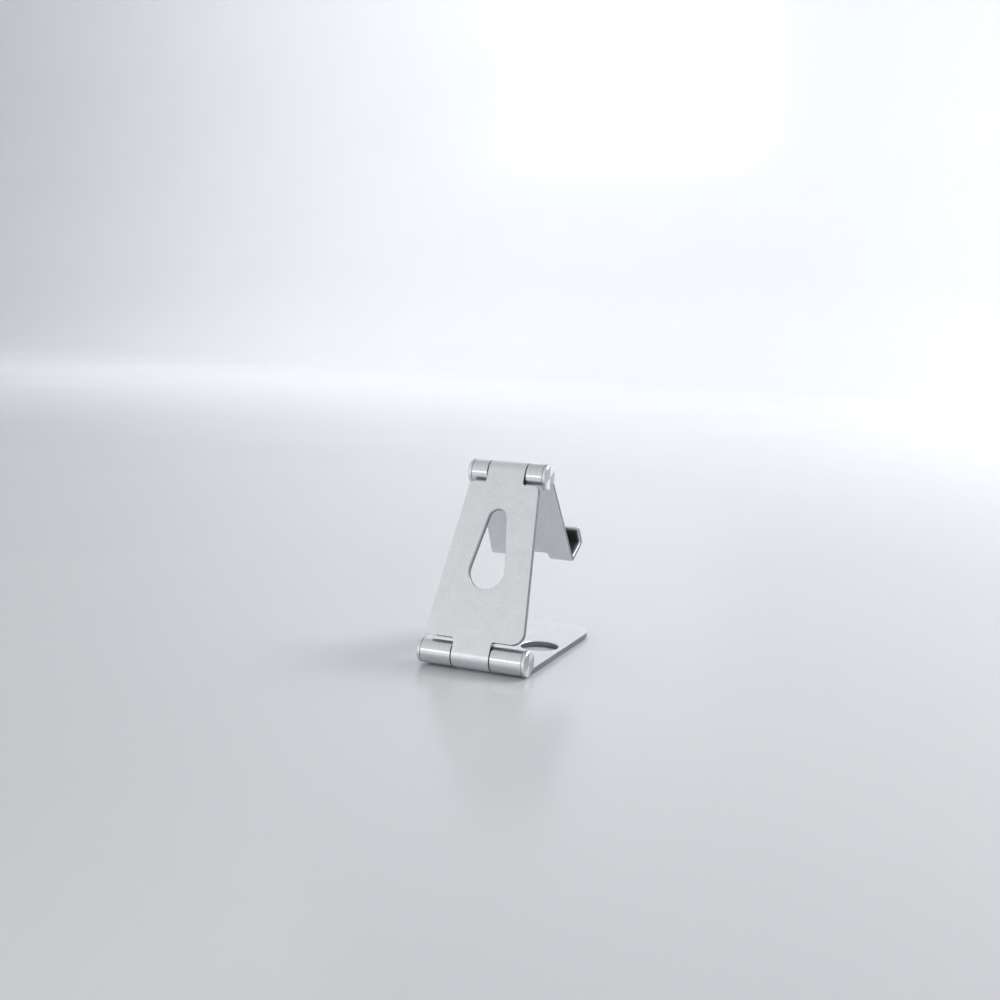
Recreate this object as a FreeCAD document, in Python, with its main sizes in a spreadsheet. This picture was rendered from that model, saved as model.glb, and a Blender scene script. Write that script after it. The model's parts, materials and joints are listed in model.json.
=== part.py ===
"""Folding two-hinge phone stand: base plate, support arm and phone cradle on two friction hinges.

Millimetres, +Z up, -Y to the front where the phone faces, X along both hinge pins.
The origin is on the table, under the middle of the stand's box.
Each piece is drawn about its own hinge pin and placed by its own Placement:
  base pieces    pin at their origin, plate in XY
  arm pieces     lower pin at their origin, +Z along the arm, +Y to the arm's rear face
  cradle pieces  upper pin at their origin, -Z down the cradle, -Y to the phone
"""
import FreeCAD, Part
import math
import os
import Sketcher
from FreeCAD import Placement, Rotation, Vector

# ---------------------------------------------------------------- driving dimensions
SIZES = {
    # hinges
    "knuckle_r": 8.0,
    "arm_knuckle_half": 12.2,
    "outer_knuckle_start": 13.0,
    "slot_gap": 0.6,
    # base plate
    "base_front": 119.5,
    "base_half": 34.3,
    "base_thick": 3.0,
    "base_corner_r": 20.0,
    "base_knuckle_end": 32.75,
    "base_hole_r": 11.9,
    "base_hole_across": 18.9,
    "base_hole_front": 57.5,
    "foot_proud": 0.8,
    "foot_sunk": 0.5,
    # support arm
    "arm_length": 115.0,
    "arm_thick": 4.0,
    "arm_low_half": 33.0,
    "arm_top_half": 21.9,
    "arm_end_gap": 8.5,
    "arm_low_corner_r": 7.5,
    "arm_top_corner_r": 3.0,
    "arm_slot_corner_r": 1.5,
    "drop_low_up": 51.2,
    "drop_low_r": 11.5,
    "drop_top_up": 84.4,
    "drop_top_r": 5.7,
    # cradle
    "cradle_back": 3.0,
    "cradle_thick": 3.0,
    "cradle_top_half": 24.7,
    "cradle_low_half": 28.4,
    "cradle_drop": 71.4,
    "cradle_knuckle_end": 23.25,
    "cradle_middle_drop": 65.9,
    "hook_inner_side": 11.8,
    "hook_gap": 15.6,
    "hook_lip_thick": 3.0,
    "hook_lip_top": 58.0,
    "face_pad_half": 23.0,
    "face_pad_top": 11.0,
    "face_pad_low": 57.5,
    "face_pad_proud": 2.0,
    "face_pad_sunk": 0.6,
    "hook_pad_thick": 1.8,
    # edge breaks
    "hole_break": 0.5,
    "cap_break": 0.5,
    # corner rounds
    "round_small": 0.8,
    "round_medium": 2.0,
    "bend_outer_r": 3.5,
    "bend_inner_r": 1.5,
    "lip_end_r": 1.4,
    "pad_corner_r": 6.0,
    "foot_corner_r": 3.0,
    # silicone pads
    "front_foot_start": 92.0,
    "front_foot_end": 108.0,
    "front_foot_half": 20.0,
    "rear_foot_start": 13.0,
    "rear_foot_end": 27.0,
    "rear_foot_half": 27.0,
    "hook_pad_inner_side": 12.8,
    "hook_pad_outer_side": 26.8,
    "hook_pad_back_top": 60.5,
    "hook_pad_lip_top": 59.8,
    # pose at rest
    "arm_lean": 25.0,
    "cradle_tilt": 30.0,
}

# One set of hinge sizes for each pin: same design, one size smaller at the top.
HINGES = {
    "lower": {
        "pin_r": 3.0,
        "bush_r": 4.5,
        "counterbore_r": 6.2,
        "counterbore_floor": 22.0,
        "head_r": 5.0,
        "head_thick": 3.2,
        "thrust_washer_r": 5.6,
        "thrust_washer_thick": 1.0,
        "spring_r": 5.6,
        "spring_thick": 0.5,
        "spring_pitch": 0.8,
        "spring_count": 3,
        "nut_flats": 10.0,
        "nut_thick": 4.0,
        "pin_end": 30.2,
        "plug_start": 29.9,
        "plug_hollow_r": 3.7,
        "plug_hollow_end": 31.0,
        "knuckle_end": SIZES["base_knuckle_end"],
    },
    "upper": {
        "pin_r": 2.5,
        "bush_r": 4.0,
        "counterbore_r": 5.8,
        "counterbore_floor": 16.0,
        "head_r": 4.2,
        "head_thick": 2.6,
        "thrust_washer_r": 5.2,
        "thrust_washer_thick": 0.8,
        "spring_r": 5.2,
        "spring_thick": 0.4,
        "spring_pitch": 0.7,
        "spring_count": 2,
        "nut_flats": 8.0,
        "nut_thick": 2.7,
        "pin_end": 21.3,
        "plug_start": 20.95,
        "plug_hollow_r": 3.0,
        "plug_hollow_end": 21.9,
        "knuckle_end": SIZES["cradle_knuckle_end"],
    },
}
SHARED_HINGE = {
    "running_clearance": 0.04,
    "loose_clearance": 0.1,
    "washer_r": 7.5,
    "washer_start": 12.25,
    "cap_r": 7.9,
    "cap_neck_r": 6.9,
    "cap_neck": 0.5,
    "cap_thick": 2.7,
    "pin_end_break": 0.5,
}


def add_worked_out_sizes():
    """Sizes that follow from the driving ones, kept in the same sheet."""
    taper = (SIZES["arm_low_half"] - SIZES["arm_top_half"]) / SIZES["arm_length"]
    gap = SIZES["arm_end_gap"]
    SIZES["arm_knuckle_long"] = 2 * SIZES["arm_knuckle_half"]
    SIZES["arm_low_edge"] = gap
    SIZES["arm_top_edge"] = SIZES["arm_length"] - gap
    SIZES["arm_low_edge_half"] = SIZES["arm_low_half"] - taper * SIZES["arm_low_edge"]
    SIZES["arm_top_edge_half"] = SIZES["arm_low_half"] - taper * SIZES["arm_top_edge"]
    SIZES["arm_front_face"] = SIZES["knuckle_r"] - SIZES["arm_thick"]
    SIZES["slot_depth"] = SIZES["knuckle_r"] + SIZES["slot_gap"]
    SIZES["plate_top"] = SIZES["knuckle_r"] - SIZES["base_thick"]
    SIZES["cradle_front"] = SIZES["cradle_back"] + SIZES["cradle_thick"]
    SIZES["hook_floor"] = SIZES["cradle_drop"] - SIZES["cradle_thick"]
    SIZES["lip_inner"] = SIZES["cradle_front"] + SIZES["hook_gap"]
    SIZES["lip_outer"] = SIZES["lip_inner"] + SIZES["hook_lip_thick"]
    spread = (SIZES["cradle_low_half"] - SIZES["cradle_top_half"]) / SIZES["cradle_drop"]
    SIZES["cradle_shoulder_half"] = SIZES["cradle_top_half"] + spread * SIZES["slot_depth"]
    SIZES["outer_knuckle_long_base"] = SIZES["base_knuckle_end"] - SIZES["outer_knuckle_start"]
    SIZES["outer_knuckle_long_cradle"] = SIZES["cradle_knuckle_end"] - SIZES["outer_knuckle_start"]
    SIZES["trim_reach"] = 2.0 * SIZES["cradle_drop"]
    SIZES["lower_pin_y"] = SIZES["base_front"] / 2 - SIZES["knuckle_r"] / 2
    SIZES["lower_pin_z"] = SIZES["knuckle_r"] + SIZES["foot_proud"]
    SIZES["foot_pad_thick"] = SIZES["foot_proud"] + SIZES["foot_sunk"]
    SIZES["table_drop"] = SIZES["lower_pin_z"]
    SIZES["lip_rise"] = SIZES["cradle_drop"] - SIZES["hook_lip_top"]
    SIZES["face_pad_back"] = SIZES["cradle_front"] - SIZES["face_pad_sunk"]
    SIZES["face_pad_thick"] = SIZES["face_pad_proud"] + SIZES["face_pad_sunk"]
    SIZES["hook_pad_wide"] = SIZES["hook_pad_outer_side"] - SIZES["hook_pad_inner_side"]
    SIZES["hook_pad_back_face"] = SIZES["cradle_front"] + SIZES["hook_pad_thick"]
    SIZES["hook_pad_lip_face"] = SIZES["lip_inner"] - SIZES["hook_pad_thick"]
    SIZES["hook_pad_floor"] = SIZES["hook_floor"] - SIZES["hook_pad_thick"]
    SIZES.update(SHARED_HINGE)
    SIZES["cap_bevel_r"] = SIZES["cap_r"] - SIZES["cap_break"]
    for which, hinge in HINGES.items():
        for name, value in hinge.items():
            SIZES[f"{which}_{name}"] = value
        add_worked_out_hinge_sizes(which, hinge)


def add_worked_out_hinge_sizes(which, hinge):
    """Stations along one pin and radii round it."""
    springs_start = hinge["counterbore_floor"] + hinge["thrust_washer_thick"]
    springs_end = springs_start + hinge["spring_count"] * hinge["spring_pitch"]
    cap_end = hinge["knuckle_end"] + SHARED_HINGE["cap_thick"]
    SIZES[f"{which}_springs_start"] = springs_start
    SIZES[f"{which}_springs_end"] = springs_end
    SIZES[f"{which}_head_end"] = hinge["counterbore_floor"] + hinge["head_thick"]
    SIZES[f"{which}_bore_r"] = hinge["pin_r"] + SHARED_HINGE["loose_clearance"]
    SIZES[f"{which}_bush_bore_r"] = hinge["pin_r"] + SHARED_HINGE["running_clearance"]
    SIZES[f"{which}_pin_bevel_start"] = hinge["pin_end"] - SHARED_HINGE["pin_end_break"]
    SIZES[f"{which}_pin_bevel_r"] = hinge["pin_r"] - SHARED_HINGE["pin_end_break"]
    SIZES[f"{which}_neck_end"] = hinge["knuckle_end"] + SHARED_HINGE["cap_neck"]
    SIZES[f"{which}_cap_end"] = cap_end
    SIZES[f"{which}_cap_bevel_start"] = cap_end - SIZES["cap_break"]


add_worked_out_sizes()

doc = FreeCAD.newDocument("phone_stand")
sheet = doc.addObject("Spreadsheet::Sheet", "sizes")
for row, (alias, value) in enumerate(SIZES.items(), start=1):
    sheet.set(f"A{row}", alias)
    sheet.set(f"B{row}", repr(float(value)))
    sheet.setAlias(f"B{row}", alias)
doc.recompute()


def size(name):
    """A size by its sheet name; a leading minus turns its sign, and "0" is zero."""
    if name == "0":
        return 0.0
    if name.startswith("-"):
        return -float(sheet.get(name[1:]))
    return float(sheet.get(name))


def expression(name):
    return f"-sizes.{name[1:]}" if name.startswith("-") else f"sizes.{name}"


# ---------------------------------------------------------------- where each body stands
LOWER_PIN = Vector(0, size("lower_pin_y"), size("lower_pin_z"))
ARM_TURN = Rotation(Vector(1, 0, 0), size("arm_lean"))
UPPER_PIN = LOWER_PIN + ARM_TURN.multVec(Vector(0, 0, size("arm_length")))
BASE_PLACE = Placement(LOWER_PIN, Rotation())
ARM_PLACE = Placement(LOWER_PIN, ARM_TURN)
UPPER_BUSH_PLACE = Placement(UPPER_PIN, ARM_TURN)
CRADLE_PLACE = Placement(UPPER_PIN, Rotation(Vector(1, 0, 0), -size("cradle_tilt")))

PARTS = []


def finish_part(thing, label, place):
    thing.Label = label
    thing.Placement = place
    PARTS.append(thing)
    return thing


# ---------------------------------------------------------------- drawing helpers
def new_body(label):
    return doc.addObject("PartDesign::Body", f"Body_{label}")


def origin_item(body, role):
    return [item for item in body.Origin.OriginFeatures if item.Role == role][0]


def new_sketch(body, name, plane, offset=None):
    sketch = body.newObject("Sketcher::SketchObject", name)
    sketch.AttachmentSupport = [(origin_item(body, plane), "")]
    sketch.MapMode = "FlatFace"
    if offset:
        sketch.setExpression(".AttachmentOffset.Base.z", expression(offset))
    return sketch


def pin_point(sketch, geometry, position, name, across, along):
    """Dimension one point of a sketch from the sketch's origin."""
    for kind, label, alias in (("DistanceX", "across", across), ("DistanceY", "along", along)):
        index = sketch.addConstraint(
            Sketcher.Constraint(kind, -1, 1, geometry, position, size(alias)))
        if alias != "0":
            sketch.renameConstraint(index, f"{label}_{name}")
            sketch.setExpression(f"Constraints.{label}_{name}", expression(alias))


def draw_outline(sketch, corners, name="corner"):
    """A closed outline of straight lines through corners given by their sheet names."""
    points = [Vector(size(across), size(along), 0) for across, along in corners]
    lines = []
    for start, end in zip(points, points[1:] + points[:1]):
        lines.append(sketch.addGeometry(Part.LineSegment(start, end)))
    for line, following in zip(lines, lines[1:] + lines[:1]):
        sketch.addConstraint(Sketcher.Constraint("Coincident", line, 2, following, 1))
    for number, (line, (across, along)) in enumerate(zip(lines, corners)):
        pin_point(sketch, line, 1, f"{name}_{number}", across, along)


def draw_circle(sketch, radius, across="0", along="0", name="round"):
    centre = Vector(size(across), size(along), 0)
    circle = sketch.addGeometry(Part.Circle(centre, Vector(0, 0, 1), size(radius)))
    pin_point(sketch, circle, 3, name, across, along)
    index = sketch.addConstraint(Sketcher.Constraint("Radius", circle, size(radius)))
    sketch.renameConstraint(index, f"radius_{name}")
    sketch.setExpression(f"Constraints.radius_{name}", expression(radius))


def draw_teardrop(sketch):
    """Two round ends of different size joined by their common tangents."""
    low_up, low_r = size("drop_low_up"), size("drop_low_r")
    top_up, top_r = size("drop_top_up"), size("drop_top_r")
    lean = math.asin((low_r - top_r) / (top_up - low_up))
    low = Vector(0, low_up, 0)
    top = Vector(0, top_up, 0)
    facing = Vector(0, 0, 1)
    low_arc = sketch.addGeometry(
        Part.ArcOfCircle(Part.Circle(low, facing, low_r), math.pi - lean, 2 * math.pi + lean))
    top_arc = sketch.addGeometry(
        Part.ArcOfCircle(Part.Circle(top, facing, top_r), lean, math.pi - lean))
    outward = Vector(math.cos(lean), math.sin(lean), 0)
    inward = Vector(-outward.x, outward.y, 0)
    right = sketch.addGeometry(Part.LineSegment(low + outward * low_r, top + outward * top_r))
    left = sketch.addGeometry(Part.LineSegment(top + inward * top_r, low + inward * low_r))
    for one, one_end, other, other_end in (
            (low_arc, 2, right, 1), (right, 2, top_arc, 1),
            (top_arc, 2, left, 1), (left, 2, low_arc, 1)):
        sketch.addConstraint(Sketcher.Constraint("Tangent", one, one_end, other, other_end))
    for arc, end in ((low_arc, "low"), (top_arc, "top")):
        pin_point(sketch, arc, 3, f"{end}_end", "0", f"drop_{end}_up")
        index = sketch.addConstraint(Sketcher.Constraint("Radius", arc, size(f"drop_{end}_r")))
        sketch.renameConstraint(index, f"radius_{end}_end")
        sketch.setExpression(f"Constraints.radius_{end}_end", expression(f"drop_{end}_r"))


def draw_two_barrel_section(sketch):
    """Side view of the arm's middle: two barrels joined by the plate, flush at the rear."""
    radius, up, front = size("knuckle_r"), size("arm_length"), size("arm_front_face")
    meeting = math.acos(front / radius)
    facing = Vector(0, 0, 1)
    rise = radius * math.sin(meeting)
    low_arc = sketch.addGeometry(
        Part.ArcOfCircle(Part.Circle(Vector(), facing, radius), meeting, 2 * math.pi))
    rear = sketch.addGeometry(Part.LineSegment(Vector(radius, 0, 0), Vector(radius, up, 0)))
    top_arc = sketch.addGeometry(
        Part.ArcOfCircle(Part.Circle(Vector(0, up, 0), facing, radius), 0, 2 * math.pi - meeting))
    ahead = sketch.addGeometry(
        Part.LineSegment(Vector(front, up - rise, 0), Vector(front, rise, 0)))
    sketch.addConstraint(Sketcher.Constraint("Tangent", low_arc, 2, rear, 1))
    sketch.addConstraint(Sketcher.Constraint("Tangent", rear, 2, top_arc, 1))
    sketch.addConstraint(Sketcher.Constraint("Coincident", top_arc, 2, ahead, 1))
    sketch.addConstraint(Sketcher.Constraint("Coincident", ahead, 2, low_arc, 1))
    sketch.addConstraint(Sketcher.Constraint("Vertical", ahead))
    pin_point(sketch, low_arc, 3, "low_barrel", "0", "0")
    pin_point(sketch, top_arc, 3, "top_barrel", "0", "arm_length")
    for name, kind, alias in (
            ("radius_low_barrel", ("Radius", low_arc), "knuckle_r"),
            ("radius_top_barrel", ("Radius", top_arc), "knuckle_r"),
            ("front_of_plate", ("DistanceX", -1, 1, ahead, 1), "arm_front_face")):
        index = sketch.addConstraint(Sketcher.Constraint(*kind, size(alias)))
        sketch.renameConstraint(index, name)
        sketch.setExpression(f"Constraints.{name}", expression(alias))


def pad(body, sketch, name, length, both_ways=False, reversed_way=False):
    feature = body.newObject("PartDesign::Pad", name)
    feature.Profile = sketch
    feature.Midplane = both_ways
    feature.Reversed = reversed_way
    feature.setExpression("Length", f"2 * {expression(length)}" if both_ways else expression(length))
    return feature


def cut_through(body, sketch, name):
    feature = body.newObject("PartDesign::Pocket", name)
    feature.Profile = sketch
    feature.Type = 1
    feature.Midplane = True
    doc.recompute()
    return feature


def cut_down(body, sketch, name, depth, reversed_way=False):
    feature = body.newObject("PartDesign::Pocket", name)
    feature.Profile = sketch
    feature.Reversed = reversed_way
    feature.setExpression("Length", expression(depth))
    doc.recompute()
    return feature


def mirror_left_right(body, feature, name):
    mirrored = body.newObject("PartDesign::Mirrored", name)
    mirrored.Originals = [feature]
    mirrored.MirrorPlane = (origin_item(body, "YZ_Plane"), [""])
    body.Tip = mirrored
    doc.recompute()
    return mirrored


def turn_about_pin(body, sketch, name, cut=False):
    kind = "PartDesign::Groove" if cut else "PartDesign::Revolution"
    feature = body.newObject(kind, name)
    feature.Profile = sketch
    feature.ReferenceAxis = (origin_item(body, "X_Axis"), [""])
    feature.Angle = 360.0
    doc.recompute()
    return feature


def edges_through(feature, spots, along):
    """Names of straight edges parallel to one axis that pass through the given spots."""
    others = [axis for axis in "xyz" if axis != along]
    direction = Vector(*[1.0 if axis == along else 0.0 for axis in "xyz"])
    names = []
    for number, edge in enumerate(feature.Shape.Edges, start=1):
        if edge.Curve.TypeId != "Part::GeomLine":
            continue
        if edge.Curve.Direction.cross(direction).Length > 1e-6:
            continue
        middle = edge.CenterOfMass
        place = [getattr(middle, axis) for axis in others]
        for spot in spots:
            if math.dist(place, spot) < 0.05:
                names.append(f"Edge{number}")
    return names


def edges_where(feature, test):
    return [f"Edge{number}" for number, edge in enumerate(feature.Shape.Edges, start=1) if test(edge)]


def break_edges(body, feature, names, name, amount, kind="Fillet"):
    """Round (Fillet) or bevel (Chamfer) the named edges by a size of the sheet."""
    assert names, f"{name}: no edge found"
    dressed = body.newObject(f"PartDesign::{kind}", name)
    dressed.Base = (feature, names)
    dressed.setExpression("Radius" if kind == "Fillet" else "Size", expression(amount))
    body.Tip = dressed
    doc.recompute()
    return dressed


def both_sides(x, *rest):
    return [(x, *rest), (-x, *rest)]


def circle_at_height(axis, height, radii):
    """A test for round edges that lie flat at one height along an axis."""
    def test(edge):
        if edge.Curve.TypeId != "Part::GeomCircle":
            return False
        if abs(getattr(edge.Curve.Center, axis) - height) > 0.01:
            return False
        return any(abs(edge.Curve.Radius - radius) < 0.01 for radius in radii)
    return test


# ---------------------------------------------------------------- base plate
def make_base_plate():
    body = new_body("base_plate")
    outline = new_sketch(body, "base_outline", "XY_Plane", "-knuckle_r")
    draw_outline(outline, [
        ("outer_knuckle_start", "0"),
        ("base_knuckle_end", "0"),
        ("base_knuckle_end", "-slot_depth"),
        ("base_half", "-slot_depth"),
        ("base_half", "-base_front"),
        ("-base_half", "-base_front"),
        ("-base_half", "-slot_depth"),
        ("-base_knuckle_end", "-slot_depth"),
        ("-base_knuckle_end", "0"),
        ("-outer_knuckle_start", "0"),
        ("-outer_knuckle_start", "-slot_depth"),
        ("outer_knuckle_start", "-slot_depth"),
    ])
    plate = pad(body, outline, "plate", "base_thick")
    doc.recompute()
    front = edges_through(plate, both_sides(size("base_half"), -size("base_front")), "z")
    rounded = break_edges(body, plate, front, "front_corners", "base_corner_r")
    slot = edges_through(rounded, both_sides(size("outer_knuckle_start"), -size("slot_depth")), "z")
    rounded = break_edges(body, rounded, slot, "slot_corners", "arm_slot_corner_r")

    holes = new_sketch(body, "hook_holes", "XY_Plane")
    draw_circle(holes, "base_hole_r", "base_hole_across", "-base_hole_front", "left_hole")
    draw_circle(holes, "base_hole_r", "-base_hole_across", "-base_hole_front", "right_hole")
    holed = cut_through(body, holes, "hook_hole_cut")
    rims = edges_where(holed, circle_at_height("z", -size("plate_top"), [size("base_hole_r")]))
    broken = break_edges(body, holed, rims, "hole_rims", "hole_break", "Chamfer")

    add_outer_knuckles(body, "base", "outer_knuckle_long_base")
    bore_for_pin(body, "lower")

    feet = new_sketch(body, "foot_recesses", "XY_Plane", "-knuckle_r")
    for end in ("front", "rear"):
        half, near, far = f"{end}_foot_half", f"-{end}_foot_start", f"-{end}_foot_end"
        draw_outline(feet, [(f"-{half}", near), (half, near), (half, far), (f"-{half}", far)],
                     f"{end}_foot")
    sunk = cut_down(body, feet, "foot_recess", "foot_sunk", reversed_way=True)
    spots = []
    for end in ("front", "rear"):
        for station in ("start", "end"):
            spots += both_sides(size(f"{end}_foot_half"), -size(f"{end}_foot_{station}"))
    corners = edges_through(sunk, spots, "z")
    break_edges(body, sunk, corners, "foot_recess_corners", "foot_corner_r")
    return finish_part(body, "base_plate", BASE_PLACE)


def add_outer_knuckles(body, name, length):
    """A barrel on each side of the slot, joined to the plate tangentially."""
    end = new_sketch(body, f"{name}_knuckle_end", "YZ_Plane", "outer_knuckle_start")
    draw_circle(end, "knuckle_r", name="knuckle")
    left = pad(body, end, f"{name}_knuckle", length)
    doc.recompute()
    mirror_left_right(body, left, f"{name}_knuckles")


def bore_for_pin(body, which):
    """The pin's bore through both outer knuckles, with a counterbore at each end."""
    reach = "trim_reach"
    profile = new_sketch(body, f"{which}_bore_profile", "XZ_Plane")
    bore, wide, floor = f"{which}_bore_r", f"{which}_counterbore_r", f"{which}_counterbore_floor"
    draw_outline(profile, [
        (f"-{reach}", "0"),
        (f"-{reach}", wide),
        (f"-{floor}", wide),
        (f"-{floor}", bore),
        (floor, bore),
        (floor, wide),
        (reach, wide),
        (reach, "0"),
    ])
    turn_about_pin(body, profile, f"{which}_bore", cut=True)


# ---------------------------------------------------------------- support arm
def make_support_arm():
    body = new_body("support_arm")
    outline = new_sketch(body, "arm_outline", "XZ_Plane", "-knuckle_r")
    draw_outline(outline, [
        ("arm_low_edge_half", "arm_low_edge"),
        ("arm_top_edge_half", "arm_top_edge"),
        ("-arm_top_edge_half", "arm_top_edge"),
        ("-arm_low_edge_half", "arm_low_edge"),
    ])
    plate = pad(body, outline, "arm_plate", "arm_thick")
    doc.recompute()
    low = edges_through(plate, both_sides(size("arm_low_edge_half"), size("arm_low_edge")), "y")
    rounded = break_edges(body, plate, low, "arm_low_corners", "arm_low_corner_r")
    top = edges_through(rounded, both_sides(size("arm_top_edge_half"), size("arm_top_edge")), "y")
    break_edges(body, rounded, top, "arm_top_corners", "arm_top_corner_r")

    section = new_sketch(body, "arm_middle_section", "YZ_Plane", "-arm_knuckle_half")
    draw_two_barrel_section(section)
    middle = pad(body, section, "arm_middle", "arm_knuckle_long")
    doc.recompute()
    slot = edges_through(middle, both_sides(size("arm_knuckle_half"), size("arm_low_edge"))
                         + both_sides(size("arm_knuckle_half"), size("arm_top_edge")), "y")
    break_edges(body, middle, slot, "arm_slot_corners", "arm_slot_corner_r")

    window = new_sketch(body, "teardrop", "XZ_Plane")
    draw_teardrop(window)
    opened = cut_through(body, window, "teardrop_cut")
    faces = (size("knuckle_r"), size("arm_front_face"))

    def on_teardrop_rim(edge):
        box = edge.BoundBox
        if box.YLength > 0.01 or min(abs(box.YMin - face) for face in faces) > 0.01:
            return False
        inside = box.XMax < size("drop_low_r") + 0.1 and box.XMin > -size("drop_low_r") - 0.1
        low, high = size("drop_low_up") - size("drop_low_r"), size("drop_top_up") + size("drop_top_r")
        return inside and box.ZMin > low - 0.1 and box.ZMax < high + 0.1

    break_edges(body, opened, edges_where(opened, on_teardrop_rim), "teardrop_rim",
                "hole_break", "Chamfer")

    for end, up in (("lower", "0"), ("upper", "arm_length")):
        bore = new_sketch(body, f"arm_{end}_bore_end", "YZ_Plane", "-arm_knuckle_half")
        draw_circle(bore, f"{end}_bush_r", "0", up, f"{end}_bore")
        cut_down(body, bore, f"arm_{end}_bore", "arm_knuckle_long", reversed_way=True)
    return finish_part(body, "support_arm", ARM_PLACE)


# ---------------------------------------------------------------- cradle
def make_cradle():
    """One J-shaped section, trimmed from behind to a tapered plate with two hooks."""
    body = new_body("cradle")
    section = new_sketch(body, "cradle_section", "YZ_Plane")
    draw_outline(section, [
        ("-cradle_back", "0"),
        ("-cradle_front", "0"),
        ("-cradle_front", "-hook_floor"),
        ("-lip_inner", "-hook_floor"),
        ("-lip_inner", "-hook_lip_top"),
        ("-lip_outer", "-hook_lip_top"),
        ("-lip_outer", "-cradle_drop"),
        ("-cradle_back", "-cradle_drop"),
    ])
    block = pad(body, section, "cradle_block", "base_half", both_ways=True)
    doc.recompute()
    outer = edges_through(block, [(-size("cradle_back"), -size("cradle_drop")),
                                  (-size("lip_outer"), -size("cradle_drop"))], "x")
    bent = break_edges(body, block, outer, "outer_bends", "bend_outer_r")
    inner = edges_through(bent, [(-size("cradle_front"), -size("hook_floor")),
                                 (-size("lip_inner"), -size("hook_floor"))], "x")
    bent = break_edges(body, bent, inner, "inner_bends", "bend_inner_r")
    lip = edges_through(bent, [(-size("lip_inner"), -size("hook_lip_top")),
                               (-size("lip_outer"), -size("hook_lip_top"))], "x")
    break_edges(body, bent, lip, "lip_round", "lip_end_r")

    trim = new_sketch(body, "cradle_trim", "XZ_Plane")
    reach = "trim_reach"
    draw_outline(trim, [(f"-{reach}", f"-{reach}"), (reach, f"-{reach}"), (reach, reach),
                        (f"-{reach}", reach)], "frame")
    right_side = [
        ("outer_knuckle_start", "0"),
        ("cradle_knuckle_end", "0"),
        ("cradle_knuckle_end", "-slot_depth"),
        ("cradle_shoulder_half", "-slot_depth"),
        ("cradle_low_half", "-cradle_drop"),
        ("hook_inner_side", "-cradle_drop"),
        ("hook_inner_side", "-cradle_middle_drop"),
    ]
    left_side = [(f"-{across}", along) for across, along in reversed(right_side)]
    slot = [("-outer_knuckle_start", "-slot_depth"), ("outer_knuckle_start", "-slot_depth")]
    draw_outline(trim, right_side + left_side + slot)
    trimmed = cut_through(body, trim, "cradle_trim_cut")
    soft = edges_through(trimmed, both_sides(size("outer_knuckle_start"), -size("slot_depth"))
                         + both_sides(size("hook_inner_side"), -size("cradle_middle_drop")), "y")
    rounded = break_edges(body, trimmed, soft, "slot_rounds", "arm_slot_corner_r")
    hook_low = edges_through(rounded, both_sides(size("hook_inner_side"), -size("cradle_drop")), "y")
    rounded = break_edges(body, rounded, hook_low, "hook_inner_corners", "round_medium")
    hook_out = edges_through(rounded, both_sides(size("cradle_low_half"), -size("cradle_drop")), "y")
    break_edges(body, rounded, hook_out, "hook_outer_corners", "round_small")

    between = new_sketch(body, "between_hooks", "XY_Plane", "-cradle_drop")
    draw_outline(between, [("-hook_inner_side", "-cradle_front"), ("hook_inner_side", "-cradle_front"),
                           ("hook_inner_side", "-trim_reach"), ("-hook_inner_side", "-trim_reach")])
    cut_down(body, between, "between_hooks_cut", "lip_rise", reversed_way=True)

    recess = new_sketch(body, "face_pad_recess", "XZ_Plane", "cradle_front")
    draw_outline(recess, [("-face_pad_half", "-face_pad_top"), ("face_pad_half", "-face_pad_top"),
                          ("face_pad_half", "-face_pad_low"), ("-face_pad_half", "-face_pad_low")])
    sunk = cut_down(body, recess, "face_pad_recess_cut", "face_pad_sunk")
    corners = edges_through(sunk, both_sides(size("face_pad_half"), -size("face_pad_top"))
                            + both_sides(size("face_pad_half"), -size("face_pad_low")), "y")
    break_edges(body, sunk, corners, "recess_corners", "pad_corner_r")

    add_outer_knuckles(body, "cradle", "outer_knuckle_long_cradle")
    bore_for_pin(body, "upper")
    return finish_part(body, "cradle", CRADLE_PLACE)


# ---------------------------------------------------------------- hinge pieces
def turned_body(label, corners, place):
    body = new_body(label)
    profile = new_sketch(body, f"{label}_profile", "XZ_Plane")
    draw_outline(profile, corners)
    turn_about_pin(body, profile, f"{label}_turned")
    return finish_part(body, label, place)


def make_pin(which, place):
    """Flat-headed pin: head in the left counterbore, plain shank, beveled right end."""
    floor, radius, end = f"{which}_counterbore_floor", f"{which}_pin_r", f"{which}_pin_end"
    return turned_body(f"{which}_hinge_pin", [
        (f"-{which}_head_end", "0"),
        (f"-{which}_head_end", f"{which}_head_r"),
        (f"-{floor}", f"{which}_head_r"),
        (f"-{floor}", radius),
        (f"{which}_pin_bevel_start", radius),
        (end, f"{which}_pin_bevel_r"),
        (end, "0"),
    ], place)


def make_bush(which, place):
    return turned_body(f"{which}_bush", [
        ("-arm_knuckle_half", f"{which}_bush_bore_r"),
        ("-arm_knuckle_half", f"{which}_bush_r"),
        ("arm_knuckle_half", f"{which}_bush_r"),
        ("arm_knuckle_half", f"{which}_bush_bore_r"),
    ], place)


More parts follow.
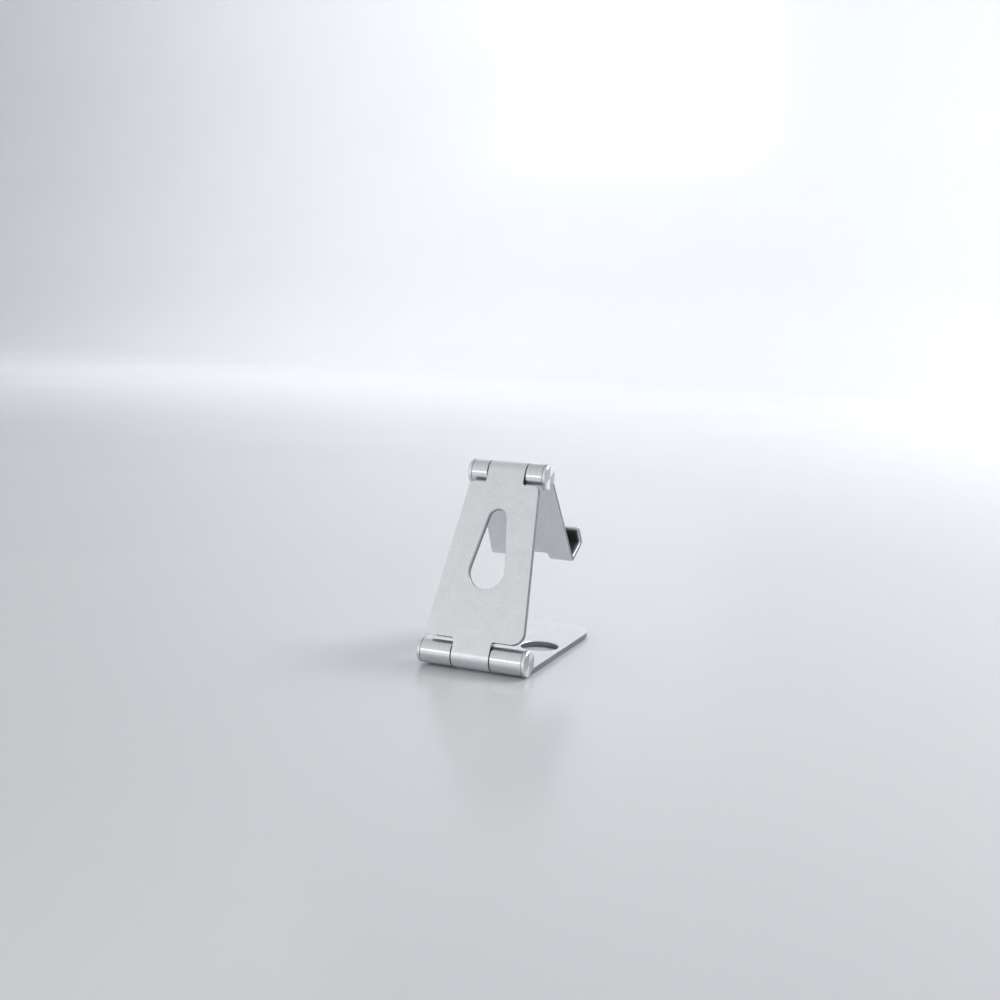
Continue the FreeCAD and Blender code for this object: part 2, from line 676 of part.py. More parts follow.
def make_cap(which, side, place):
    """End cap: plug pressed into the counterbore, narrow neck, beveled visible disc."""
    sign = "-" if side == "left" else ""
    return turned_body(f"{which}_{side}_cap", [
        (f"{sign}{which}_plug_hollow_end", "0"),
        (f"{sign}{which}_plug_hollow_end", f"{which}_plug_hollow_r"),
        (f"{sign}{which}_plug_start", f"{which}_plug_hollow_r"),
        (f"{sign}{which}_plug_start", f"{which}_counterbore_r"),
        (f"{sign}{which}_knuckle_end", f"{which}_counterbore_r"),
        (f"{sign}{which}_knuckle_end", "cap_neck_r"),
        (f"{sign}{which}_neck_end", "cap_neck_r"),
        (f"{sign}{which}_neck_end", "cap_r"),
        (f"{sign}{which}_cap_bevel_start", "cap_r"),
        (f"{sign}{which}_cap_end", "cap_bevel_r"),
        (f"{sign}{which}_cap_end", "0"),
    ], place)


def make_friction_washers(which, place):
    """A dark washer on each side of the arm's knuckle, in one node."""
    tube = doc.addObject("Part::Cylinder", f"{which}_washer_outside")
    tube.setExpression("Radius", expression("washer_r"))
    tube.setExpression("Height", "2 * sizes.outer_knuckle_start")
    tube.setExpression(".Placement.Base.z", "-sizes.outer_knuckle_start")
    hole = doc.addObject("Part::Cylinder", f"{which}_washer_hole")
    hole.setExpression("Radius", expression(f"{which}_bore_r"))
    hole.setExpression("Height", "2 * sizes.outer_knuckle_start")
    hole.setExpression(".Placement.Base.z", "-sizes.outer_knuckle_start")
    middle = doc.addObject("Part::Cylinder", f"{which}_washer_middle")
    middle.setExpression("Radius", "2 * sizes.washer_r")
    middle.setExpression("Height", "2 * sizes.washer_start")
    middle.setExpression(".Placement.Base.z", "-sizes.washer_start")
    space = doc.addObject("Part::MultiFuse", f"{which}_washer_space")
    space.Shapes = [hole, middle]
    washers = doc.addObject("Part::Cut", f"{which}_washers")
    washers.Base = tube
    washers.Tool = space
    along_pin = Placement(Vector(), Rotation(Vector(0, 1, 0), 90))
    return finish_part(washers, f"{which}_friction_washers", place.multiply(along_pin))


def make_thrust_washer(which, place):
    return turned_body(f"{which}_thrust_washer", [
        (f"{which}_counterbore_floor", f"{which}_bore_r"),
        (f"{which}_counterbore_floor", f"{which}_thrust_washer_r"),
        (f"{which}_springs_start", f"{which}_thrust_washer_r"),
        (f"{which}_springs_start", f"{which}_bore_r"),
    ], place)


def make_disc_springs(which, place):
    """Dished spring washers stacked mouth to mouth; they set the hinge's friction."""
    inner, outer = size(f"{which}_bore_r"), size(f"{which}_spring_r")
    thick, pitch = size(f"{which}_spring_thick"), size(f"{which}_spring_pitch")
    dish = pitch - thick
    discs = []
    for number in range(int(size(f"{which}_spring_count"))):
        start = size(f"{which}_springs_start") + number * pitch
        at_hole, at_rim = (0, dish) if number % 2 else (dish, 0)
        corners = [
            Vector(start + at_hole, 0, inner),
            Vector(start + at_rim, 0, outer),
            Vector(start + at_rim + thick, 0, outer),
            Vector(start + at_hole + thick, 0, inner),
        ]
        face = Part.Face(Part.makePolygon(corners + corners[:1]))
        discs.append(face.revolve(Vector(), Vector(1, 0, 0), 360))
    springs = doc.addObject("Part::Feature", f"{which}_springs")
    springs.Shape = Part.makeCompound(discs)
    return finish_part(springs, f"{which}_disc_springs", place)


def make_lock_nut(which, place):
    """Thin hexagon nut on the pin's right end."""
    prism = doc.addObject("Part::Prism", f"{which}_nut_hexagon")
    prism.Polygon = 6
    prism.setExpression("Circumradius", f"sizes.{which}_nut_flats / 2 / cos(30 deg)")
    prism.setExpression("Height", expression(f"{which}_nut_thick"))
    prism.setExpression(".Placement.Base.z", expression(f"{which}_springs_end"))
    hole = doc.addObject("Part::Cylinder", f"{which}_nut_hole")
    hole.setExpression("Radius", expression(f"{which}_pin_r"))
    hole.setExpression("Height", expression("trim_reach"))
    nut = doc.addObject("Part::Cut", f"{which}_nut")
    nut.Base = prism
    nut.Tool = hole
    along_pin = Placement(Vector(), Rotation(Vector(0, 1, 0), 90))
    return finish_part(nut, f"{which}_lock_nut", place.multiply(along_pin))


# ---------------------------------------------------------------- silicone pads
def rounded_block(label, plane, start, corners, corner_size, depth, along, place, reverse):
    body = new_body(label)
    outline = new_sketch(body, f"{label}_outline", plane, start)
    draw_outline(outline, corners)
    block = pad(body, outline, f"{label}_block", depth, reversed_way=reverse)
    doc.recompute()
    spots = [(size(across), size(up)) for across, up in corners]
    names = edges_through(block, spots, along)
    break_edges(body, block, names, f"{label}_corners", corner_size)
    return finish_part(body, label, place)


def make_foot_pad(end):
    half, near, far = f"{end}_foot_half", f"-{end}_foot_start", f"-{end}_foot_end"
    corners = [(f"-{half}", near), (half, near), (half, far), (f"-{half}", far)]
    return rounded_block(f"{end}_foot_pad", "XY_Plane", "-table_drop", corners,
                         "foot_corner_r", "foot_pad_thick", "z", BASE_PLACE, False)


def make_face_pad():
    half = "face_pad_half"
    corners = [(f"-{half}", "-face_pad_top"), (half, "-face_pad_top"),
               (half, "-face_pad_low"), (f"-{half}", "-face_pad_low")]
    return rounded_block("cradle_face_pad", "XZ_Plane", "face_pad_back", corners,
                         "pad_corner_r", "face_pad_thick", "y", CRADLE_PLACE, False)


def make_hook_pad(side):
    """J-shaped liner on the plate, the floor and the lip of one hook."""
    label = f"{side}_hook_pad"
    body = new_body(label)
    start = "hook_pad_inner_side" if side == "right" else "-hook_pad_outer_side"
    section = new_sketch(body, f"{label}_section", "YZ_Plane", start)
    draw_outline(section, [
        ("-cradle_front", "-hook_pad_back_top"),
        ("-hook_pad_back_face", "-hook_pad_back_top"),
        ("-hook_pad_back_face", "-hook_pad_floor"),
        ("-hook_pad_lip_face", "-hook_pad_floor"),
        ("-hook_pad_lip_face", "-hook_pad_lip_top"),
        ("-lip_inner", "-hook_pad_lip_top"),
        ("-lip_inner", "-hook_floor"),
        ("-cradle_front", "-hook_floor"),
    ])
    block = pad(body, section, f"{label}_block", "hook_pad_wide")
    doc.recompute()
    under = edges_through(block, [(-size("cradle_front"), -size("hook_floor")),
                                  (-size("lip_inner"), -size("hook_floor"))], "x")
    break_edges(body, block, under, f"{label}_under_bends", "bend_inner_r")
    return finish_part(body, label, CRADLE_PLACE)


# ---------------------------------------------------------------- build, check and write
def build_all():
    make_base_plate()
    make_support_arm()
    make_cradle()
    for which, place, bush_place in (("lower", BASE_PLACE, ARM_PLACE),
                                     ("upper", CRADLE_PLACE, UPPER_BUSH_PLACE)):
        make_pin(which, place)
        make_bush(which, bush_place)
        make_friction_washers(which, place)
        make_thrust_washer(which, place)
        make_disc_springs(which, place)
        make_lock_nut(which, place)
        make_cap(which, "left", place)
        make_cap(which, "right", place)
    make_foot_pad("front")
    make_foot_pad("rear")
    make_face_pad()
    make_hook_pad("left")
    make_hook_pad("right")
    doc.recompute()


def check_and_write():
    for thing in doc.Objects:
        faults = [state for state in thing.State if state in ("Invalid", "Error")]
        assert not faults, f"{thing.Name}: {thing.State}"
    os.makedirs("parts", exist_ok=True)
    for thing in PARTS:
        shape = thing.Shape
        assert not shape.isNull() and shape.isValid(), f"{thing.Label}: bad shape"
        box = shape.BoundBox
        print(f"{thing.Label:24s} solids {len(shape.Solids)}  volume {shape.Volume:9.1f}  "
              f"x {box.XMin:7.2f} {box.XMax:7.2f}  y {box.YMin:7.2f} {box.YMax:7.2f}  "
              f"z {box.ZMin:7.2f} {box.ZMax:7.2f}")
        shape.exportStep(f"parts/{thing.Label}.step")


build_all()
check_and_write()
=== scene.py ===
"""Folding two-hinge phone stand: finishes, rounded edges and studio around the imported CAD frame.

Metres, +Z up, the phone faces -Y and the camera stands behind the stand, on the +Y side.
The plates and barrels are bead-blasted or turned aluminium, the caps are faced on a lathe,
and the pads are moulded silicone.
"""
import json
import math

import bpy
from mathutils import Matrix, Vector

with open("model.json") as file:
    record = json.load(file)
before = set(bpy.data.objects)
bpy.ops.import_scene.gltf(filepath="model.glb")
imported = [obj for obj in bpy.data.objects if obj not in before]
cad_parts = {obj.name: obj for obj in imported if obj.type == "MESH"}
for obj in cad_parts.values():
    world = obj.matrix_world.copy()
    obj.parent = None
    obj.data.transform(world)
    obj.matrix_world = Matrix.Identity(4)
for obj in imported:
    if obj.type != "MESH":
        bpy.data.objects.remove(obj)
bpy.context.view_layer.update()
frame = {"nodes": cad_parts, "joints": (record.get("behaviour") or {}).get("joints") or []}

MM = 0.001
EVEN = (1.0, 1.0, 1.0)
SIDEWAYS = (1.0, 0.0, 0.0)
UPWARDS = (0.0, 0.0, 1.0)

NODES = frame["nodes"]
PINS = {joint["name"]: joint["pos_m"] for joint in frame["joints"]}


# ---------------------------------------------------------------- camera
CAMERA_PLACE = (-0.3176, 0.7608, 0.2280)
CAMERA_YAW = math.radians(23.31)
CAMERA_PITCH = math.radians(-9.12)
CAMERA_ROLL = math.radians(1.51)
SENSOR_WIDTH = 36.0
FOCAL_LENGTH = 47.97


def camera_axes(yaw, pitch, roll):
    """Axes of a camera that looks along -Y turned by yaw towards +X, then pitched up and rolled."""
    forward = Vector((math.sin(yaw) * math.cos(pitch), -math.cos(yaw) * math.cos(pitch), math.sin(pitch)))
    right = Vector((-math.cos(yaw), -math.sin(yaw), 0.0))
    up = right.cross(forward)
    rolled_right = right * math.cos(roll) + up * math.sin(roll)
    rolled_up = up * math.cos(roll) - right * math.sin(roll)
    return Matrix((rolled_right, rolled_up, -forward)).transposed().to_4x4()


def add_camera():
    camera_data = bpy.data.cameras.new("camera")
    camera_data.sensor_width = SENSOR_WIDTH
    camera_data.lens = FOCAL_LENGTH
    camera_data.clip_start = 0.01
    camera_data.clip_end = 40.0
    camera = bpy.data.objects.new("camera", camera_data)
    bpy.context.scene.collection.objects.link(camera)
    turned = camera_axes(CAMERA_YAW, CAMERA_PITCH, CAMERA_ROLL)
    camera.matrix_world = Matrix.Translation(CAMERA_PLACE) @ turned
    bpy.context.scene.camera = camera


# ---------------------------------------------------------------- material building
NOISE_LOW, NOISE_HIGH = 0.3, 0.7            # where nearly all of a noise pattern lies
COLOUR_A, COLOUR_B, COLOUR_RESULT = 6, 7, 2  # the Mix node's sockets, which share their names
NUMBER_A, NUMBER_B, NUMBER_RESULT = 2, 3, 0


class Finish:
    """One procedural material whose patterns are laid out in the frame's own metres."""

    def __init__(self, name, **sockets):
        self.material = bpy.data.materials.new(name)
        self.material.use_nodes = True
        self.tree = self.material.node_tree
        self.shader = self.tree.nodes["Principled BSDF"]
        for socket, value in sockets.items():
            self.set(socket.replace("_", " "), value)
        self.places = self.add("ShaderNodeTexCoord").outputs["Object"]

    def add(self, kind, **settings):
        node = self.tree.nodes.new(kind)
        for key, value in settings.items():
            setattr(node, key, value)
        return node

    def join(self, source, target):
        self.tree.links.new(source, target)

    def feed(self, socket, value):
        """Links a node's output to a socket, or sets the socket to a plain value."""
        if isinstance(value, bpy.types.NodeSocket):
            self.join(value, socket)
        else:
            socket.default_value = value

    def set(self, socket, value):
        """Feeds the shader's socket of that name, in any case."""
        self.feed({s.name.lower(): s for s in self.shader.inputs}[socket.lower()], value)

    def scaled(self, size, stretch=EVEN):
        """Coordinates in units of `size` metres, each axis drawn out by `stretch`."""
        mapping = self.add("ShaderNodeMapping")
        mapping.inputs["Scale"].default_value = [1.0 / (size * s) for s in stretch]
        self.join(self.places, mapping.inputs["Vector"])
        return mapping.outputs["Vector"]

    def noise(self, size, detail=2.0, roughness=0.5, stretch=EVEN):
        """Smooth noise from 0 to 1 whose blotches are about `size` metres wide."""
        node = self.add("ShaderNodeTexNoise")
        node.inputs["Scale"].default_value = 1.0
        node.inputs["Detail"].default_value = detail
        node.inputs["Roughness"].default_value = roughness
        self.join(self.scaled(size, stretch), node.inputs["Vector"])
        return node.outputs["Fac"]

    def cells(self, size):
        """Distance to the nearest of many scattered points, about `size` metres apart."""
        node = self.add("ShaderNodeTexVoronoi")
        node.inputs["Scale"].default_value = 1.0
        self.join(self.scaled(size), node.inputs["Vector"])
        return node.outputs["Distance"]

    def remap(self, value, low, high, to_low=0.0, to_high=1.0):
        """A value from `low` to `high` moved to the range from `to_low` to `to_high`, and held there."""
        node = self.add("ShaderNodeMapRange")
        limits = (("From Min", low), ("From Max", high), ("To Min", to_low), ("To Max", to_high))
        for socket, number in limits:
            node.inputs[socket].default_value = number
        self.join(value, node.inputs["Value"])
        return node.outputs["Result"]

    def spread(self, noise, to_low=0.0, to_high=1.0):
        """A noise pattern drawn out over the whole range from `to_low` to `to_high`."""
        return self.remap(noise, NOISE_LOW, NOISE_HIGH, to_low, to_high)

    def calc(self, first, second, operation):
        node = self.add("ShaderNodeMath", operation=operation)
        self.feed(node.inputs[0], first)
        self.feed(node.inputs[1], second)
        return node.outputs["Value"]

    def blend(self, factor, dark, light):
        """Colour between `dark` and `light`."""
        node = self.add("ShaderNodeMix", data_type="RGBA")
        self.join(factor, node.inputs["Factor"])
        for index, colour in ((COLOUR_A, dark), (COLOUR_B, light)):
            plain = not isinstance(colour, bpy.types.NodeSocket)
            self.feed(node.inputs[index], (*colour, 1.0) if plain else colour)
        return node.outputs[COLOUR_RESULT]

    def pick(self, factor, elsewhere, there):
        """A value that is `there` where the factor is 1 and `elsewhere` where it is 0."""
        node = self.add("ShaderNodeMix", data_type="FLOAT")
        self.join(factor, node.inputs["Factor"])
        self.join(elsewhere, node.inputs[NUMBER_A])
        self.join(there, node.inputs[NUMBER_B])
        return node.outputs[NUMBER_RESULT]

    def bump(self, height, depth, strength, over=None):
        """Relief of `depth` metres, on top of another relief when `over` is given."""
        node = self.add("ShaderNodeBump")
        node.inputs["Distance"].default_value = depth
        node.inputs["Strength"].default_value = strength
        self.join(height, node.inputs["Height"])
        if over is not None:
            self.join(over, node.inputs["Normal"])
        return node.outputs["Normal"]

    def from_pin(self, joint):
        """Metres behind, above and away from the line along X through a hinge pin."""
        _, pin_y, pin_z = PINS[joint]
        split = self.add("ShaderNodeSeparateXYZ")
        self.join(self.places, split.inputs["Vector"])
        behind = self.calc(split.outputs["Y"], pin_y, "SUBTRACT")
        above = self.calc(split.outputs["Z"], pin_z, "SUBTRACT")
        squares = self.calc(self.calc(behind, behind, "MULTIPLY"), self.calc(above, above, "MULTIPLY"), "ADD")
        return behind, above, self.calc(squares, 0.5, "POWER")

    def facing(self, direction, low, high):
        """0 to 1 as a face turns from `low` to `high` towards or away from `direction`."""
        aligned = self.add("ShaderNodeVectorMath", operation="DOT_PRODUCT")
        aligned.inputs[1].default_value = direction
        self.join(self.add("ShaderNodeTexCoord").outputs["Normal"], aligned.inputs[0])
        return self.remap(self.calc(aligned.outputs["Value"], 0.0, "ABSOLUTE"), low, high)


# ---------------------------------------------------------------- aluminium
BARREL_R = 8.0 * MM
BARREL_FADE = 0.35 * MM                      # how softly a barrel's finish gives way to the plate's
ARM_LEAN = math.atan2(PINS["arm_hinge"][1] - PINS["cradle_hinge"][1],
                      PINS["cradle_hinge"][2] - PINS["arm_hinge"][2])
ARM_REAR = (0.0, math.cos(ARM_LEAN), math.sin(ARM_LEAN))

BLASTED_COLOURS = (0.79, 0.80, 0.815), (0.93, 0.94, 0.955)
TURNED_COLOURS = (0.70, 0.71, 0.725), (0.90, 0.905, 0.915)
# painted shade: the dark colour laid on the plates' milled wall faces, standing in for the shade and dark
# reflections they get
PAINTED_WALL_SHADE_COLOUR = (0.29, 0.30, 0.32)
BLASTED_ROUGHNESS = 0.42, 0.48
TURNED_ROUGHNESS = 0.15, 0.29
BARREL_POLISH = 0.10                         # how much smoother a blasted barrel is than its plate


def around_pins(metal, joints):
    """1 on the barrels about the pins of these joints, 0 elsewhere."""
    found = 0.0
    for joint in joints:
        _, _, radius = metal.from_pin(joint)
        on_this = metal.remap(radius, BARREL_R, BARREL_R + BARREL_FADE, 1.0, 0.0)
        found = metal.calc(on_this, found, "MAXIMUM")
    return found


def blasted_aluminium(name, joints, plate_normal=None, turned=True):
    """Bead-blasted, clear-anodised aluminium with painted shade on its milled wall faces and edges.

    The barrels about `joints` are turned or blasted. The wall faces that get the painted shade are
    the faces square to `plate_normal`, or only the ones that face sideways when it is not given.
    `plate_normal`, or only the ones that face sideways when it is not given.
    """
    metal = Finish(name, Metallic=1.0)
    on_barrel = around_pins(metal, joints)
    off_barrel = metal.calc(1.0, on_barrel, "SUBTRACT")
    # painted shade: the wall faces away from the barrels are picked out here so that they can be darkened in
    # the base colour
    if plate_normal is None:
        painted_wall_shade = metal.facing(SIDEWAYS, 0.75, 0.95)
    else:
        painted_wall_shade = metal.remap(metal.facing(plate_normal, 0.0, 1.0), 0.35, 0.15)
    painted_wall_shade = metal.calc(painted_wall_shade, off_barrel, "MULTIPLY")

    clouds = metal.spread(metal.noise(9 * MM, detail=3.0), 0.0, 0.3)
    mottle = metal.noise(1.1 * MM, detail=3.0, roughness=0.7)
    tone = metal.calc(clouds, metal.remap(mottle, 0.33, 0.67, 0.0, 0.7), "ADD")
    colour = metal.blend(tone, *BLASTED_COLOURS)
    roughness = metal.spread(metal.noise(3.5 * MM, detail=4.0), *BLASTED_ROUGHNESS)
    dimples = metal.noise(0.16 * MM)
    pits = metal.remap(metal.cells(0.32 * MM), 0.0, 0.55)
    if turned:
        rings = metal.noise(0.14 * MM, detail=5.0, roughness=0.7, stretch=(1.0, 40.0, 40.0))
        colour = metal.blend(on_barrel, colour, metal.blend(metal.spread(rings), *TURNED_COLOURS))
        roughness = metal.pick(on_barrel, roughness, metal.spread(rings, *TURNED_ROUGHNESS))
        rings = metal.calc(rings, on_barrel, "MULTIPLY")
        dimples = metal.calc(dimples, off_barrel, "MULTIPLY")
        pits = metal.calc(pits, off_barrel, "MULTIPLY")
    else:
        roughness = metal.calc(roughness, metal.calc(on_barrel, BARREL_POLISH, "MULTIPLY"), "SUBTRACT")

    relief = metal.bump(dimples, 0.014 * MM, 0.55)
    relief = metal.bump(pits, 0.012 * MM, 0.5, over=relief)
    relief = metal.bump(mottle, 0.018 * MM, 0.35, over=relief)
    if turned:
        relief = metal.bump(rings, 0.010 * MM, 0.6, over=relief)
    # painted shade: the wall faces are blended towards the dark painted shade colour
    metal.set("Base Color", metal.blend(painted_wall_shade, colour, PAINTED_WALL_SHADE_COLOUR))
    metal.set("Roughness", roughness)
    metal.set("Normal", relief)
    return metal.material


# painted highlight: the lean and the dark-to-light colours of the two bright fans painted into the caps' face
# colour
PAINTED_FAN_LEAN = math.radians(28)
PAINTED_FAN_COLOURS = (0.40, 0.41, 0.43), (0.95, 0.955, 0.96)
CAP_RIM_COLOURS = (0.78, 0.79, 0.805), (0.91, 0.915, 0.925)


def faced_aluminium(name, joint):
    """Cap faced on a lathe: fine rings about the pin with a real anisotropic sheen, and two fans of painted
    highlight on a darker face colour.
    """
    metal = Finish(name, Metallic=1.0, Anisotropic=0.85)
    behind, above, radius = metal.from_pin(joint)
    # painted highlight: two fans brightened by the angle about the pin, standing in for the reflection that
    # the lathe rings spread
    along_painted_fan = metal.calc(metal.calc(above, math.cos(PAINTED_FAN_LEAN), "MULTIPLY"),
                           metal.calc(behind, math.sin(PAINTED_FAN_LEAN), "MULTIPLY"), "SUBTRACT")
    share = metal.calc(metal.calc(along_painted_fan, 0.0, "ABSOLUTE"), radius, "DIVIDE")
    painted_fan_highlight = metal.remap(share, 0.74, 1.0)
    ring_noise = metal.add("ShaderNodeTexNoise", noise_dimensions="1D")
    ring_noise.inputs["Scale"].default_value = 1.0 / (0.16 * MM)
    ring_noise.inputs["Detail"].default_value = 3.0
    metal.join(radius, ring_noise.inputs["W"])
    rings = ring_noise.outputs["Fac"]
    tone = metal.calc(painted_fan_highlight, metal.spread(rings, -0.18, 0.18), "ADD")
    # painted highlight: the face colour carries the painted fans, with real ring marks on top
    face = metal.blend(tone, *PAINTED_FAN_COLOURS)
    rim = metal.blend(metal.noise(4 * MM, detail=3.0), *CAP_RIM_COLOURS)
    metal.set("Base Color", metal.blend(metal.facing(SIDEWAYS, 0.9, 0.99), rim, face))
    metal.set("Roughness", metal.spread(rings, 0.20, 0.30))
    metal.set("Normal", metal.bump(rings, 0.008 * MM, 0.5))
    tangent = metal.add("ShaderNodeTangent", direction_type="RADIAL", axis="X")
    metal.set("Tangent", tangent.outputs["Tangent"])
    return metal.material


# ---------------------------------------------------------------- steel, plastic, silicone
def steel(name, colours, roughness, stretch):
    """Ground or drawn steel with fine marks drawn out along `stretch`."""
    metal = Finish(name, Metallic=1.0)
    marks = metal.noise(0.12 * MM, detail=3.0, stretch=stretch)
    clouds = metal.noise(2.5 * MM, detail=3.0)
    tone = metal.calc(metal.spread(clouds, 0.0, 0.6), metal.spread(marks, 0.0, 0.4), "ADD")
    metal.set("Base Color", metal.blend(tone, *colours))
    metal.set("Roughness", metal.spread(marks, *roughness))
    metal.set("Normal", metal.bump(marks, 0.006 * MM, 0.5))
    return metal.material


def moulded_plastic(name, colours, roughness):
    """Acetal or nylon with a faint moulded texture."""
    plastic = Finish(name, Specular_IOR_Level=0.5, IOR=1.48)
    grain = plastic.noise(0.25 * MM)
    plastic.set("Base Color", plastic.blend(plastic.noise(3 * MM, detail=3.0), *colours))
    plastic.set("Roughness", plastic.spread(grain, *roughness))
    plastic.set("Normal", plastic.bump(grain, 0.01 * MM, 0.5))
    return plastic.material


SILICONE_COLOURS = (0.022, 0.023, 0.025), (0.040, 0.041, 0.044)
LINT_COLOUR = (0.10, 0.10, 0.105)


def silicone(name):
    """Charcoal silicone: matt, slightly cloudy, with a fine spark-eroded texture and pale lint."""
    rubber = Finish(name, Specular_IOR_Level=0.4, IOR=1.41, Sheen_Weight=0.12, Sheen_Roughness=0.5)
    texture = rubber.noise(0.22 * MM, detail=3.0, roughness=0.6)
    colour = rubber.blend(rubber.noise(6 * MM, detail=4.0), *SILICONE_COLOURS)
    lint = rubber.remap(rubber.noise(0.7 * MM, detail=5.0, roughness=0.75), 0.66, 0.74)
    rubber.set("Base Color", rubber.blend(lint, colour, LINT_COLOUR))
    rubber.set("Roughness", rubber.spread(texture, 0.52, 0.70))
    rubber.set("Normal", rubber.bump(texture, 0.02 * MM, 0.6))
    return rubber.material


# ---------------------------------------------------------------- edges of the CAD nodes
WELD_DISTANCE = 0.002 * MM
CRISP_ANGLE = math.radians(40)
BEVEL_ANGLE = math.radians(28)
FLAT_ANGLE = math.radians(0.1)


def shell_nodes(name, crisp_above=None):
    """Joins faces along their edges, smooth, or crisp where they turn by more than an angle."""
    group = bpy.data.node_groups.new(name, "GeometryNodeTree")
    for side in ("INPUT", "OUTPUT"):
        group.interface.new_socket("Geometry", in_out=side, socket_type="NodeSocketGeometry")
    start = group.nodes.new("NodeGroupInput")
    merge = group.nodes.new("GeometryNodeMergeByDistance")
    merge.inputs["Distance"].default_value = WELD_DISTANCE
    shade = group.nodes.new("GeometryNodeSetShadeSmooth")
    end = group.nodes.new("NodeGroupOutput")
    group.links.new(start.outputs[0], merge.inputs["Geometry"])
    group.links.new(merge.outputs["Geometry"], shade.inputs["Geometry"])
    group.links.new(shade.outputs["Geometry"], end.inputs[0])
    if crisp_above is not None:
        turn = group.nodes.new("GeometryNodeInputMeshEdgeAngle")
        sharp = group.nodes.new("FunctionNodeCompare")
        sharp.inputs[1].default_value = crisp_above
        shade.domain = "EDGE"
        shade.inputs["Shade Smooth"].default_value = False
        group.links.new(turn.outputs[0], sharp.inputs[0])
        group.links.new(sharp.outputs["Result"], shade.inputs["Selection"])
    return group


JOINED_SHELL = shell_nodes("joined_shell")
CRISP_CORNERS = shell_nodes("crisp_corners", CRISP_ANGLE)


def round_edges(piece, width, segments):
    """Small true rounds on every sharp edge, with flat faces that still shade flat."""
    piece.modifiers.new("joined_shell", "NODES").node_group = JOINED_SHELL
    flat = piece.modifiers.new("flat_faces", "DECIMATE")
    flat.decimate_type = "DISSOLVE"
    flat.angle_limit = FLAT_ANGLE
    bevel = piece.modifiers.new("edge_rounds", "BEVEL")
    bevel.limit_method = "ANGLE"
    bevel.angle_limit = BEVEL_ANGLE
    bevel.offset_type = "ABSOLUTE"
    bevel.width = width
    bevel.segments = segments
    bevel.use_clamp_overlap = False
    bevel.miter_outer = "MITER_ARC"
    bevel.face_strength_mode = "FSTR_ALL"
    piece.modifiers.new("crisp_corners", "NODES").node_group = CRISP_CORNERS
    normals = piece.modifiers.new("face_normals", "WEIGHTED_NORMAL")
    normals.use_face_influence = True
    normals.keep_sharp = True
    normals.weight = 50


def dress(node, material, round_width=None, segments=2):
    """Puts one material on a CAD node in place of its own, and rounds its edges."""
    piece = NODES[node]
    piece.material_slots[0].material = material
    if round_width is not None:
        round_edges(piece, round_width, segments)


# ---------------------------------------------------------------- finishes of the CAD nodes
def dress_plates():
    both_hinges = ("arm_hinge", "cradle_hinge")
    base_metal = blasted_aluminium("base_aluminium", both_hinges[:1], UPWARDS)
    arm_metal = blasted_aluminium("arm_aluminium", both_hinges, ARM_REAR, turned=False)
    cradle_metal = blasted_aluminium("cradle_aluminium", both_hinges[1:])
    for node, metal in (("base_plate", base_metal), ("support_arm", arm_metal), ("cradle", cradle_metal)):
        dress(node, metal, 0.22 * MM, segments=3)


def dress_hinges():
    along_pin = (60.0, 1.0, 1.0)
    across_pin = (1.0, 30.0, 30.0)
    pin_steel = steel("pin_steel", ((0.42, 0.42, 0.43), (0.58, 0.58, 0.59)), (0.22, 0.34), along_pin)
    spring_steel = steel("spring_steel", ((0.20, 0.20, 0.22), (0.36, 0.35, 0.35)), (0.28, 0.42), across_pin)
    acetal = moulded_plastic("bush_acetal", ((0.72, 0.71, 0.68), (0.80, 0.79, 0.76)), (0.34, 0.46))
    nylon = moulded_plastic("washer_nylon", ((0.030, 0.030, 0.032), (0.055, 0.055, 0.058)), (0.40, 0.55))
    for hinge, joint in (("lower", "arm_hinge"), ("upper", "cradle_hinge")):
        cap_metal = faced_aluminium(hinge + "_cap_aluminium", joint)
        dress(hinge + "_hinge_pin", pin_steel, 0.15 * MM)
        dress(hinge + "_thrust_washer", pin_steel, 0.10 * MM)
        dress(hinge + "_lock_nut", pin_steel, 0.20 * MM)
        dress(hinge + "_disc_springs", spring_steel)
        dress(hinge + "_bush", acetal, 0.15 * MM)
        dress(hinge + "_friction_washers", nylon, 0.08 * MM)
        dress(hinge + "_left_cap", cap_metal, 0.10 * MM)
        dress(hinge + "_right_cap", cap_metal, 0.10 * MM)


def dress_pads():
    rubber = silicone("charcoal_silicone")
    for node in ("front_foot_pad", "rear_foot_pad", "cradle_face_pad", "left_hook_pad", "right_hook_pad"):
        dress(node, rubber, 0.45 * MM, segments=4)


# ---------------------------------------------------------------- studio
TABLE_COLOURS = (0.715, 0.725, 0.75), (0.745, 0.755, 0.775)
TABLE_ROUGHNESS = 0.21, 0.25
SURROUNDINGS_COLOUR = (0.985, 0.995, 1.02, 1.0)
SURROUNDINGS_LEVEL = 0.465
SURROUNDINGS_SLOPE = (0.25, 0.215, 0.0)
MIDDLE_OF_STAND = (0.0, 0.0, 0.06)
NEUTRAL = (1.0, 1.0, 1.0)
COOL = (0.97, 0.985, 1.02)

SOFTBOXES = (
    # name, place, aim, width and height, watts, tint
    ("key_behind_right", (-1.3, -1.2, 1.9), MIDDLE_OF_STAND, (1.2, 1.0), 28.5, NEUTRAL),
    ("fill_behind_left", (1.5, -1.2, 1.7), MIDDLE_OF_STAND, (1.2, 1.0), 1.8, NEUTRAL),
    ("low_strip_behind_camera", (0.4, 1.5, 0.30), MIDDLE_OF_STAND, (1.6, 0.25), 1.3, NEUTRAL),
    ("backdrop_left", (1.6, -1.6, 1.5), (1.6, -3.2, 0.6), (1.0, 1.0), 20.5, COOL),
    ("backdrop_right", (-1.6, -1.6, 1.5), (-1.2, -3.2, 0.6), (1.0, 1.0), 42.0, NEUTRAL),
)


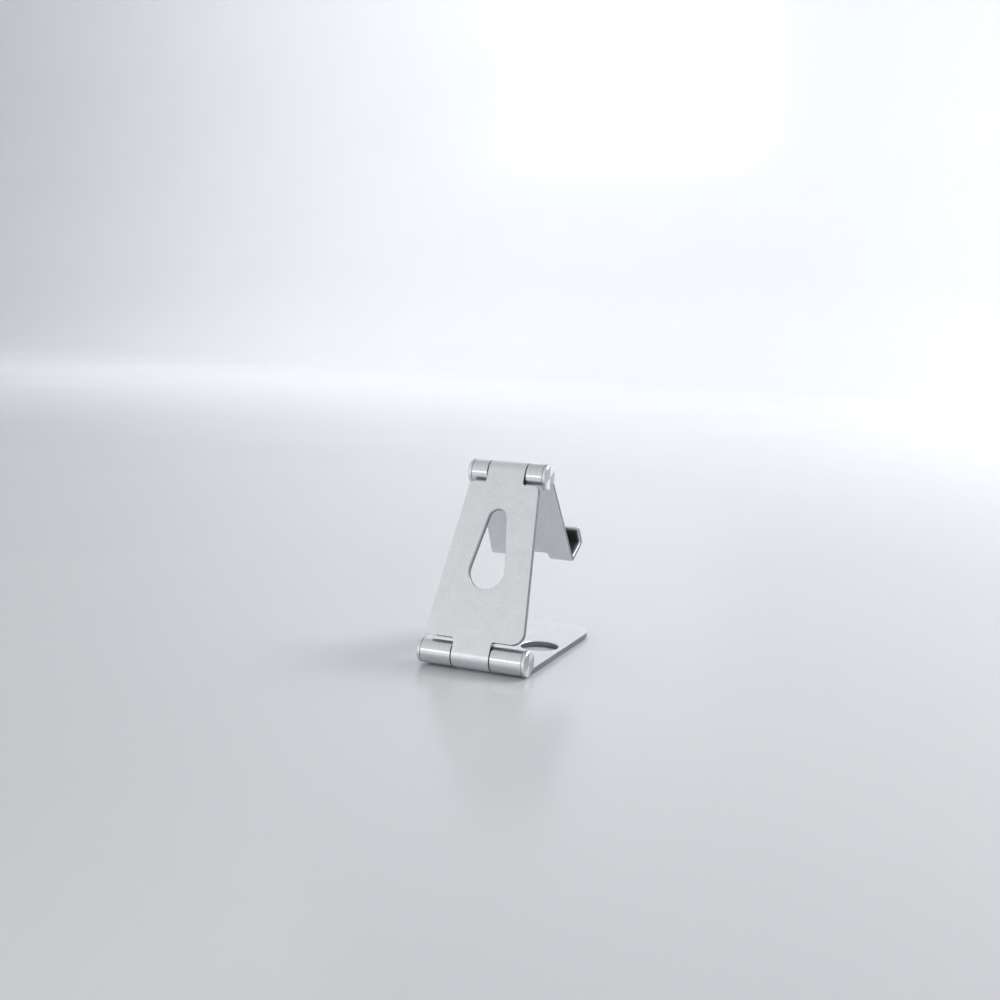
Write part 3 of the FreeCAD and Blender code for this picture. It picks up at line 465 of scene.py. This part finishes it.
def add_sweep():
    """A pale table top that curves up behind the stand without a corner."""
    half_wide, near, far, radius, height = 12.0, 5.0, -2.4, 0.9, 3.0
    curve_steps = 12
    profile = [(near, 0.0), (far, 0.0)]
    for step in range(1, curve_steps + 1):
        turn = math.radians(90.0 * step / curve_steps)
        profile.append((far - radius * math.sin(turn), radius * (1.0 - math.cos(turn))))
    profile.append((far - radius, height))
    corners = [(x, y, z) for y, z in profile for x in (-half_wide, half_wide)]
    faces = [(2 * i, 2 * i + 1, 2 * i + 3, 2 * i + 2) for i in range(len(profile) - 1)]
    mesh = bpy.data.meshes.new("table_sweep")
    mesh.from_pydata(corners, [], faces)
    for face in mesh.polygons:
        face.use_smooth = True
    sweep = bpy.data.objects.new("table_sweep", mesh)
    bpy.context.scene.collection.objects.link(sweep)
    table = Finish("pale_table", Specular_IOR_Level=0.5, IOR=1.6)
    table.set("Base Color", table.blend(table.noise(0.25), *TABLE_COLOURS))
    table.set("Roughness", table.spread(table.noise(0.5, detail=1.0), *TABLE_ROUGHNESS))
    sweep.data.materials.append(table.material)


def add_world():
    """Soft surroundings, brightest behind the camera and on its left."""
    world = bpy.data.worlds.new("studio")
    bpy.context.scene.world = world
    world.use_nodes = True
    tree = world.node_tree
    coordinates = tree.nodes.new("ShaderNodeTexCoord")
    slope = tree.nodes.new("ShaderNodeVectorMath")
    slope.operation = "DOT_PRODUCT"
    slope.inputs[1].default_value = SURROUNDINGS_SLOPE
    level = tree.nodes.new("ShaderNodeMath")
    level.operation = "ADD"
    level.inputs[1].default_value = SURROUNDINGS_LEVEL
    background = tree.nodes["Background"]
    background.inputs["Color"].default_value = SURROUNDINGS_COLOUR
    tree.links.new(coordinates.outputs["Generated"], slope.inputs[0])
    tree.links.new(slope.outputs["Value"], level.inputs[0])
    tree.links.new(level.outputs["Value"], background.inputs["Strength"])


def add_softbox(name, place, aim, size, power, tint):
    light = bpy.data.lights.new(name, "AREA")
    light.shape = "RECTANGLE"
    light.size, light.size_y = size
    light.energy = power
    light.color = tint
    box = bpy.data.objects.new(name, light)
    box.location = place
    box.rotation_euler = (Vector(aim) - Vector(place)).to_track_quat("-Z", "Y").to_euler()
    bpy.context.scene.collection.objects.link(box)


# ---------------------------------------------------------------- build
add_camera()
add_sweep()
add_world()
for softbox in SOFTBOXES:
    add_softbox(*softbox)
dress_plates()
dress_hinges()
dress_pads()
bpy.context.scene.view_settings.view_transform = "Standard"
